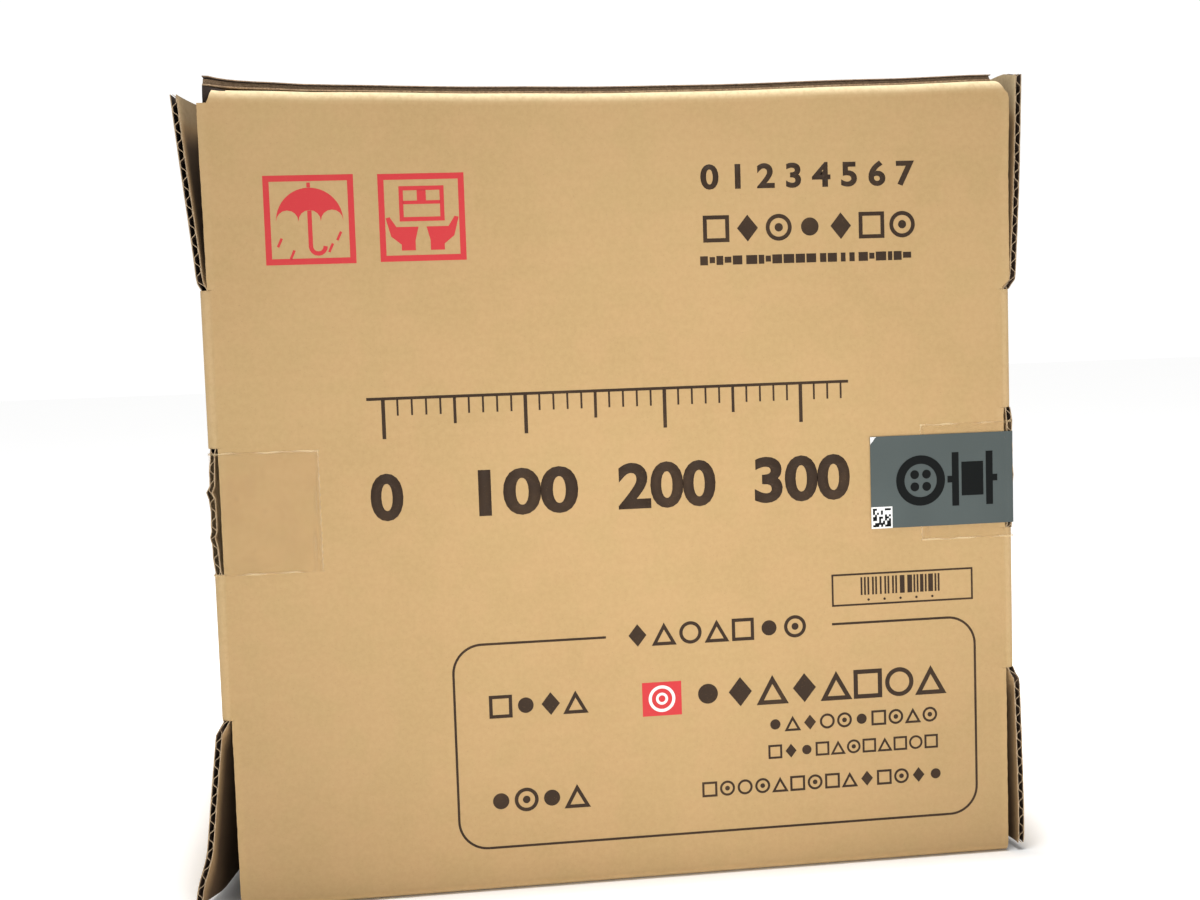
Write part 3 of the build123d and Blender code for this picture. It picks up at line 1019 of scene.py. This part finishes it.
for side, node in ((-1, "left_clear_tape"), (1, "right_clear_tape")):
    low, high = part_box(node)
    reach = HALF_W - (high.x if side < 0 else low.x) * side
    wrap = high.y - low.y
    on_board = wrap_place(side, reach, 0.06 * MM)
    half = (high.z - low.z) / 2
    centre = (high.z + low.z) / 2

    def tape_place(run, across, side=side, on_board=on_board, half=half, centre=centre):
        # The cutter leaves small teeth at the end; the long edges and the film are a little wavy.
        teeth = 0.45 * MM * abs((across * half / (1.3 * MM)) % 2 - 1) * fall(0, 2 * MM, run)
        z = centre + across * half + 0.25 * MM * abs(across) * ragged(run * 0.6, side * 3 + across)
        wrinkle = 0.04 * MM * (1 + sin(run / MM * 0.9 + 2 * sin(z / MM * 0.16) + side))
        return on_board(run + teeth, z, wrinkle)

    def tape_edge(run, across, side=side):
        """Milky cut end, lifted spots along the long edges and a crease beside the end."""
        lifted = min(max(0.55 + 0.9 * ragged(run * 0.35, side + across), 0.0), 1.0)
        long_edge = smooth(0.96, 0.985, abs(across)) * lifted
        fold = 0.45 * exp(-(((run - (2.2 - 1.4 * across) * MM) / (0.35 * MM)) ** 2))
        cut_end = fall(0.5 * MM, 1.2 * MM, run) * (0.75 + 0.25 * ragged(across * half, 4))
        return max(cut_end, long_edge, fold if across < 0.4 else 0.0)

    tape = sheet(
        node.replace("clear", "packing"), wrap_columns(reach, wrap, 1.0 * MM), steps(-1.0, 1.0, 92),
        tape_place, TAPE_FILM, TAPE, tape_edge,
    )
    softened(FILM_SHARP)
    finished(tape, "carton", "clear_tape", node)

label_low, label_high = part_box("colour_label")
label_reach = HALF_W - label_low.x
on_tape = wrap_place(1, label_reach, LABEL_LIFT)


def label_place(run, z):
    """Label over the tape's end, pulled tight across the slit."""
    turn = label_reach - WRAP_BEND
    dent = 0.35 * MM * exp(-(((run - turn + 2.4 * MM) / (0.9 * MM)) ** 2))
    return on_tape(run, z, 0.05 * MM * (1 + ragged(run * 0.3 + z * 0.2, 5)) - dent * 0.5)


label = sheet(
    "grey_label", wrap_columns(label_reach, label_high.y - label_low.y, 1.2 * MM),
    steps(label_low.z, label_high.z, 34), label_place, LABEL_FILM, GREY_PAPER,
)
softened(FILM_SHARP)
finished(label, "carton", "grey_label", "colour_label")

# ---- prints
INK_FILM = 0.05 * MM
INK_DEPTH = FRONT_Y - 0.012 * MM
LABEL_DEPTH = FRONT_Y - LABEL_LIFT - 0.175 * MM
OVERPRINT = 0.05 * MM      # how far a second print stands before the first


def arc(x, z, radius, start, end, count=16):
    """Points of an arc, with its angles in degrees."""
    turns = [radians(angle) for angle in steps(start, end, count)]
    return [(x + radius * cos(turn), z + radius * sin(turn)) for turn in turns]


def stroke(points, width, material=BROWN_INK, depth=INK_DEPTH, closed=False):
    """A line of even width through (x, z) points on the front, with mitred corners."""
    if closed:
        points = points + points[:1]
    count = len(points)

    def place(index, across):
        index = int(index)
        before = Vector(points[index - 1 if index else (count - 2 if closed else 0)])
        here = Vector(points[index])
        after = Vector(points[index + 1 if index < count - 1 else (1 if closed else count - 1)])
        way_in, way_out = (here - before).normalized(), (after - here).normalized()
        if way_in.length < 0.5:
            way_in = way_out
        if way_out.length < 0.5:
            way_out = way_in
        across_in, across_out = Vector((-way_in.y, way_in.x)), Vector((-way_out.y, way_out.x))
        mitre = (across_in + across_out).normalized()
        offset = mitre * (across * width * MM / 2 / max(mitre.dot(across_in), 0.4))
        return here.x * MM + offset.x, depth, here.y * MM + offset.y

    return sheet("stroke", list(range(count)), [-1, 1], place, INK_FILM, material)


def patch(points, material=BROWN_INK, depth=INK_DEPTH):
    """A filled shape on the front through (x, z) points."""
    item = added(
        bpy.ops.mesh.primitive_circle_add, vertices=len(points), radius=1, fill_type="NGON"
    )
    for vertex, (x, z) in zip(item.data.vertices, points):
        vertex.co = (x * MM, depth, z * MM)
    item.data.materials.append(material)
    thicken(item, INK_FILM)
    apply_all(item)
    edited(item, bpy.ops.mesh.normals_make_consistent, inside=False)
    return item


def bar(x0, x1, z0, z1, material=BROWN_INK, depth=INK_DEPTH):
    """A filled rectangle, from left to right and from bottom to top."""
    return patch([(x0, z0), (x1, z0), (x1, z1), (x0, z1)], material, depth)


def frame_line(x0, x1, z0, z1, width, material=BROWN_INK):
    """A rectangular outline whose outside edge is the given rectangle."""
    h = width / 2
    corners = [(x0 + h, z0 + h), (x1 - h, z0 + h), (x1 - h, z1 - h), (x0 + h, z1 - h)]
    return stroke(corners, width, material, closed=True)


def ring(x, z, radius, width, material=BROWN_INK, depth=INK_DEPTH):
    return stroke(arc(x, z, radius, 0, 360, 40)[:-1], width, material, depth, True)


def disc(x, z, radius, material=BROWN_INK, depth=INK_DEPTH, count=28):
    return patch(arc(x, z, radius, 0, 360, count)[:-1], material, depth)


def numeral(text, x0, x1, z0, z1, weight):
    """Plain figures that fill a rectangle."""
    item = added(bpy.ops.object.text_add, rotation=(pi / 2, 0, 0))
    item.data.body = text
    item.data.fill_mode = "FRONT"
    item.data.offset = weight
    item.data.resolution_u = 5
    select_only(item)
    bpy.ops.object.convert(target="MESH")
    settle(item)
    xs = [v.co.x for v in item.data.vertices]
    zs = [v.co.z for v in item.data.vertices]
    wide, tall = max(xs) - min(xs), max(zs) - min(zs)
    for vertex in item.data.vertices:
        x = x0 + (vertex.co.x - min(xs)) / wide * (x1 - x0)
        z = z0 + (vertex.co.z - min(zs)) / tall * (z1 - z0)
        vertex.co = (x * MM, INK_DEPTH, z * MM)
    edited(item, bpy.ops.mesh.remove_doubles, threshold=0.01 * MM)
    item.data.materials.clear()
    item.data.materials.append(BROWN_INK)
    thicken(item, INK_FILM)
    apply_all(item)
    return item


def marks(x0, x1, z0, z1, seed):
    """A row of plain shapes: dots, rings, squares, triangles and lozenges."""
    chance = random.Random(seed)
    tall = z1 - z0
    count = max(1, round((x1 - x0) / (tall * 1.16)))
    pitch = (x1 - x0 + 0.16 * tall) / count
    half, line, last = tall / 2, tall * 0.15, None
    made = []
    for index in range(count):
        x, z = x0 + (index + 0.5) * pitch - 0.08 * tall, z0 + half
        kind = chance.choice([k for k in range(6) if k != last])
        last = kind
        if kind in (0, 5):
            made.append(ring(x, z, half - line / 2, line))
        if kind == 0:
            made.append(disc(x, z, tall * 0.16, count=16))
        elif kind == 1:
            made.append(frame_line(x - half, x + half, z0, z1, line))
        elif kind == 2:
            foot, reach = z0 + line / 2, half * 0.86
            corners = [(x - reach, foot), (x + reach, foot), (x, z1 - line)]
            made.append(stroke(corners, line, closed=True))
        elif kind == 3:
            reach = half * 0.8
            made.append(patch([(x, z0), (x + reach, z), (x, z1), (x - reach, z)]))
        elif kind == 4:
            made.append(disc(x, z, tall * 0.34))
    return made


def dashes(x0, x1, z0, z1, seed):
    """A line of small dashes, as word-like gaps and runs."""
    chance = random.Random(seed)
    made, x = [], x0
    while x < x1 - 0.8:
        run = min(chance.uniform(0.5, 1.3) * (z1 - z0), x1 - x)
        inset = chance.choice((0.0, 0.0, 0.22)) * (z1 - z0)
        made.append(bar(x, x + run, z0 + inset, z1 - inset * 0.5))
        x += run + chance.choice((0.16, 0.16, 0.2, 0.45)) * (z1 - z0)
    return made


def printed(name, parts, slot="kraft_board", *nodes):
    """One print, made of its parts."""
    finished(joined(name, parts), "carton", slot, *nodes)


# Care marks in red frames: an umbrella in rain and a crate held up by two hands.
umbrella = [frame_line(-140.9, -105.4, 261.5, 296.8, 2.4, RED_INK)]
canopy = arc(-123.1, 278.6, 13.2, 0, 180, 26)
for left in (-131.9, -123.1, -114.3):
    canopy += arc(left, 278.6, 4.4, 180, 0, 8)[1:]
umbrella.append(patch(canopy, RED_INK))
handle = [(-123.1, 282.8), (-123.1, 269.0)] + arc(-120.2, 268.6, 2.9, 180, 360, 8)
umbrella.append(stroke(handle, 1.7, RED_INK))
umbrella.append(bar(-123.8, -122.4, 291.9, 293.8, RED_INK))
for x, z in ((-134.4, 272.0), (-129.6, 267.2), (-114.4, 269.6), (-111.0, 274.2)):
    umbrella.append(stroke([(x, z), (x - 1.6, z - 3.4)], 1.0, RED_INK))
printed("umbrella_mark", umbrella)

crate = [frame_line(-95.8, -61.4, 261.7, 296.6, 2.4, RED_INK)]
crate.append(frame_line(-87.6, -69.6, 277.6, 291.6, 1.7, RED_INK))
crate.append(bar(-86.0, -71.2, 284.4, 285.8, RED_INK))
crate.append(bar(-80.4, -76.8, 285.8, 290.0, RED_INK))
middle = -78.6
for side in (-1, 1):
    palm = [
        (middle + side * 1.6, 275.4), (middle + side * 10.4, 275.4), (middle + side * 13.0, 279.4),
        (middle + side * 14.6, 279.0), (middle + side * 12.6, 271.6), (middle + side * 8.6, 268.4),
        (middle + side * 8.6, 266.0), (middle + side * 3.0, 266.0), (middle + side * 3.0, 270.0),
    ]
    crate.append(patch(palm[::side], RED_INK))
printed("careful_handling_mark", crate)

# Upper right: a row of figures over a row of block signs and a fine line.
heading = [numeral("0 1 2 3 4 5 6 7", 35.4, 126.2, 287.4, 298.0, 0.03)]
heading += marks(35.7, 126.3, 266.0, 277.0, 4)
heading += dashes(34.4, 125.5, 256.7, 260.4, 9)
printed("upper_print", heading)

# Middle: a measuring scale with its figures below.
scale = [bar(-104.0, 96.0, 206.2, 207.4)]
ZERO, DIVISION, TICK_TOP = -97.4, 5.76, 206.3
for tick in range(34):
    x = ZERO + tick * DIVISION
    tall, wide = (15.8, 1.5) if tick % 10 == 0 else (10.5, 1.2) if tick % 5 == 0 else (6.5, 0.8)
    scale.append(bar(x - wide / 2, x + wide / 2, TICK_TOP - tall, TICK_TOP))
for index, text in enumerate(("0", "100", "200", "300")):
    middle = ZERO + index * 10 * DIVISION
    wide = 13.2 if index == 0 else 41.0
    scale.append(numeral(text, middle - wide / 2, middle + wide / 2, 157.1, 176.5, 0.035))
printed("length_scale", scale)

# Bars in a small frame, and the rounded panel below them.
code = [frame_line(87.0, 149.0, 111.6, 125.4, 0.8)]
chance = random.Random(31)
x = 99.6
while x < 134.0:
    wide = chance.choice((0.8, 0.8, 1.5, 2.1))
    code.append(bar(x, x + wide, 116.0, 123.6))
    x += wide + chance.choice((0.6, 0.7, 1.2))
code += [disc(dot, 113.9, 0.55, count=12) for dot in (103.0, 110.0, 117.0, 124.0, 131.0)]
printed("bar_pattern", code)

LEFT, RIGHT, LOW, HIGH, ROUND = -73.5, 149.5, 18.5, 104.2, 12.0
outline = [(-9.8, HIGH)]
for x, z, start in (
    (LEFT + ROUND, HIGH - ROUND, 90), (LEFT + ROUND, LOW + ROUND, 180),
    (RIGHT - ROUND, LOW + ROUND, 270), (RIGHT - ROUND, HIGH - ROUND, 0),
):
    outline += arc(x, z, ROUND, start, start + 90)
panel = [stroke(outline + [(86.8, HIGH)], 1.0)]
for row in (
    (-1.4, 75.6, 99.5, 109.0, 12), (-59.0, -19.0, 73.0, 82.6, 21), (-60.4, -19.5, 33.0, 43.0, 6),
    (26.7, 135.6, 71.5, 84.0, 17), (58.0, 132.3, 59.5, 66.0, 5), (58.0, 132.4, 48.0, 54.0, 8),
    (29.0, 134.5, 33.5, 40.0, 15),
):
    panel += marks(*row)
panel.append(bar(4.7, 21.3, 69.7, 84.0, RED_INK))
printed("lower_print", panel)
printed("spool_sign", [
    ring(13.0, 76.9, radius, width, WHITE_PAPER, INK_DEPTH - OVERPRINT)
    for radius, width in ((5.0, 1.3), (2.0, 1.1))
])

# Label: a cable's cross-section and a reel, with a pattern patch in the lower corner.
x, z, pair = 126.6, 163.6, 2.6
signs = [ring(x, z, 8.9, 3.6, LABEL_INK, LABEL_DEPTH)]
for dx, dz in ((-pair, pair), (pair, pair), (-pair, -pair), (pair, -pair)):
    signs.append(disc(x + dx, z + dz, 1.9, LABEL_INK, LABEL_DEPTH))
for x0, x1, z0, z1 in (
    (140.4, 143.4, 152.2, 175.0), (155.4, 158.4, 152.2, 175.0), (144.6, 154.2, 156.4, 170.8),
    (138.4, 140.4, 162.2, 165.0), (158.4, 160.4, 162.2, 165.0),
):
    signs.append(bar(x0, x1, z0, z1, LABEL_INK, LABEL_DEPTH))
printed("label_signs", signs, "grey_label")

corner_x, corner_z, wide, tall = label_low.x / MM, label_high.z / MM, 2.6, 3.4
torn = [(corner_x + 0.1, corner_z - 0.1), (corner_x + wide, corner_z - 0.2)]
torn += [
    (corner_x + wide * (1 - t) + 0.1, corner_z - tall * t + 0.25 * ragged(t * 0.01, 3))
    for t in steps(0.1, 1, 12)
]
printed("label_torn_corner", [patch(torn, WHITE_PAPER, LABEL_DEPTH)], "white_label")

code_low, code_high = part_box("code_label")
size = (code_high.x - code_low.x) / MM
left, low = code_low.x / MM, code_low.z / MM
squares = [bar(left, left + size, low, low + size, WHITE_PAPER, LABEL_DEPTH)]
chance = random.Random(7)
CELLS, MARGIN, FILLED = 9, 0.7, 0.46
cell, ends = (size - 2 * MARGIN) / CELLS, (0, CELLS - 1)
for row in range(CELLS):
    for column in range(CELLS):
        if row in ends and column in ends or chance.random() < FILLED:
            x, z = left + MARGIN + column * cell, low + MARGIN + row * cell
            squares.append(bar(x, x + cell, z, z + cell, LABEL_INK, LABEL_DEPTH - OVERPRINT))
printed("pattern_label", squares, "white_label", "code_label")

# ---- spool and winding
wound_low, wound_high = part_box("wound_cable")
CABLE = 2.6 * MM           # radius of the cable
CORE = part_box("spool_core")[1].x
LAY = wound_high.x - CABLE
FIRST, LAST = wound_low.y + CABLE, wound_high.y - CABLE
APART = 2.02 * CABLE       # least distance between two turns


def cable_run(name, turns, parts, place):
    """A coil of round cable, closed at its ends; place(share) gives its radius and its Y."""
    points = []
    for index in range(turns * parts + 1):
        angle = 2 * pi * index / parts
        reach, y = place(index / (turns * parts))
        points.append((reach * cos(angle), y, SPOOL_Z + reach * sin(angle)))
    curve = bpy.data.curves.new(name, "CURVE")
    curve.dimensions = "3D"
    curve.bevel_depth = CABLE
    curve.bevel_resolution = 1
    curve.use_fill_caps = True
    spline = curve.splines.new("POLY")
    spline.points.add(len(points) - 1)
    for point, (x, y, z) in zip(spline.points, points):
        point.co = (x, y, z, 1)
    item = bpy.data.objects.new(name, curve)
    bpy.context.scene.collection.objects.link(item)
    select_only(item)
    bpy.ops.object.convert(target="MESH")
    item = bpy.context.object
    item.data.materials.clear()
    item.data.materials.append(JACKET)
    return item


turns = int((wound_high.y - wound_low.y) / APART)
cable_parts = [
    cable_run("wound_cable_turns", turns, 72, lambda share: (LAY, FIRST + (LAST - FIRST) * share))
]
rise = LAY - CORE - CABLE
for y in (FIRST, LAST):
    cable_parts.append(cable_run(
        "cable_side", int(rise / APART), 60,
        lambda share, y=y: (CORE + CABLE + rise * share - 0.5 * MM, y),
    ))
# Under the outer turns the winding is one closed ring.
ring_in, ring_out = CORE + 0.5 * MM, LAY - 0.4 * CABLE
inner_turns = added(
    bpy.ops.mesh.primitive_cylinder_add, vertices=96, radius=(ring_in + ring_out) / 2,
    depth=wound_high.y - wound_low.y - 2.2 * CABLE, end_fill_type="NOTHING",
    location=(0, (wound_low.y + wound_high.y) / 2, SPOOL_Z), rotation=(pi / 2, 0, 0),
)
settle(inner_turns)
thicken(inner_turns, ring_out - ring_in)
apply_all(inner_turns)
inner_turns.data.materials.append(JACKET)
cable_parts.append(inner_turns)
winding = joined("wound_cable_lay", cable_parts)
softened(FILM_SHARP)
finished(winding, "spool", "cable_jacket", "wound_cable")

# ---- finishes of the CAD nodes
for finish, nodes in (
    (BLACK_PLASTIC, "front_axle_bush rear_axle_bush payout_grommet grommet_ring"),
    (STEEL, "axle_tube tie_rod_1 tie_rod_2 tie_rod_3 tie_rod_4"),
    (HARDBOARD, "spool_front_flange spool_rear_flange"), (TUBE, "spool_core"),
    (BAND_PLASTIC, "cable_end_band"),
):
    for node in nodes.split():
        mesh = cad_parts[node].data
        mesh.materials.clear()
        mesh.materials.append(finish)

# ---- floor, light, camera
floor = added(bpy.ops.mesh.primitive_plane_add, size=12, location=(0, 0, 0))
floor.name = "studio_floor"
paper = Finish("floor_paper", Roughness=0.9, Emission_Strength=0.67)
paper.feed(Base_Color=paper.mix(paper.noise(0.8), colour(250, 250, 249), colour(254, 254, 253)))
# Close to the box the floor gives no light, so that its shadow shows.
beside = (paper.axis("X").maths("ABSOLUTE") - HALF_W).maths(
    "MAXIMUM", paper.axis("Y").maths("ABSOLUTE") - BACK_Y
)
paper.feed(Emission_Color=paper.mix(beside.between(-0.004, 0.045), (0, 0, 0, 1), (1, 1, 1, 1)))
floor.data.materials.append(paper.material)

world = bpy.data.worlds.new("studio")
bpy.context.scene.world = world
world.use_nodes = True
# The studio's walls look white, and light the box more gently than they look.
WALL_LIGHT, WALL_LOOK = 0.31, 1.05
background = world.node_tree.nodes["Background"]
background.inputs["Color"].default_value = (1.0, 1.0, 1.0, 1.0)
seen = world.node_tree.nodes.new("ShaderNodeLightPath")
strength = world.node_tree.nodes.new("ShaderNodeMapRange")
strength.inputs["To Min"].default_value = WALL_LIGHT
strength.inputs["To Max"].default_value = WALL_LOOK
world.node_tree.links.new(seen.outputs["Is Camera Ray"], strength.inputs["Value"])
world.node_tree.links.new(strength.outputs["Result"], background.inputs["Strength"])
bpy.context.scene.view_settings.view_transform = "Standard"


def light(kind, name, place, aim, power, **settings):
    bpy.ops.object.light_add(type=kind, location=place)
    made = bpy.context.object
    made.name = name
    made.data.energy = power
    for key, value in settings.items():
        setattr(made.data, key, value)
    made.rotation_euler = (Vector(aim) - Vector(place)).to_track_quat("-Z", "Y").to_euler()


light("AREA", "above", (0.0, -0.22, 1.5), (0, -0.1, 0.3), 18, size=0.5)
light(
    "SPOT", "glow", (-0.05, -1.05, 0.26), (0.030, -0.11, 0.152), 12.8, shadow_soft_size=0.12,
    spot_size=radians(31), spot_blend=1.0, color=(1.0, 0.985, 0.95),
)

camera_data = bpy.data.cameras.new("camera")
camera = bpy.data.objects.new("camera", camera_data)
bpy.context.scene.collection.objects.link(camera)
camera_data.sensor_width = 36
camera_data.lens = 48
camera_data.clip_start = 0.01
EYE = (-0.09437, -0.76123, 0.23426)
YAW, PITCH, ROLL = -0.12924, -0.07885, 0.03276
turn = Matrix.Rotation(YAW, 3, "Z") @ Matrix.Rotation(PITCH, 3, "X") @ Matrix.Rotation(ROLL, 3, "Y")
right, ahead, up = turn.col[0], turn.col[1], turn.col[2]
rows = [(right[i], up[i], -ahead[i], EYE[i]) for i in range(3)]
camera.matrix_world = Matrix((*rows, (0, 0, 0, 1)))
bpy.context.scene.camera = camera
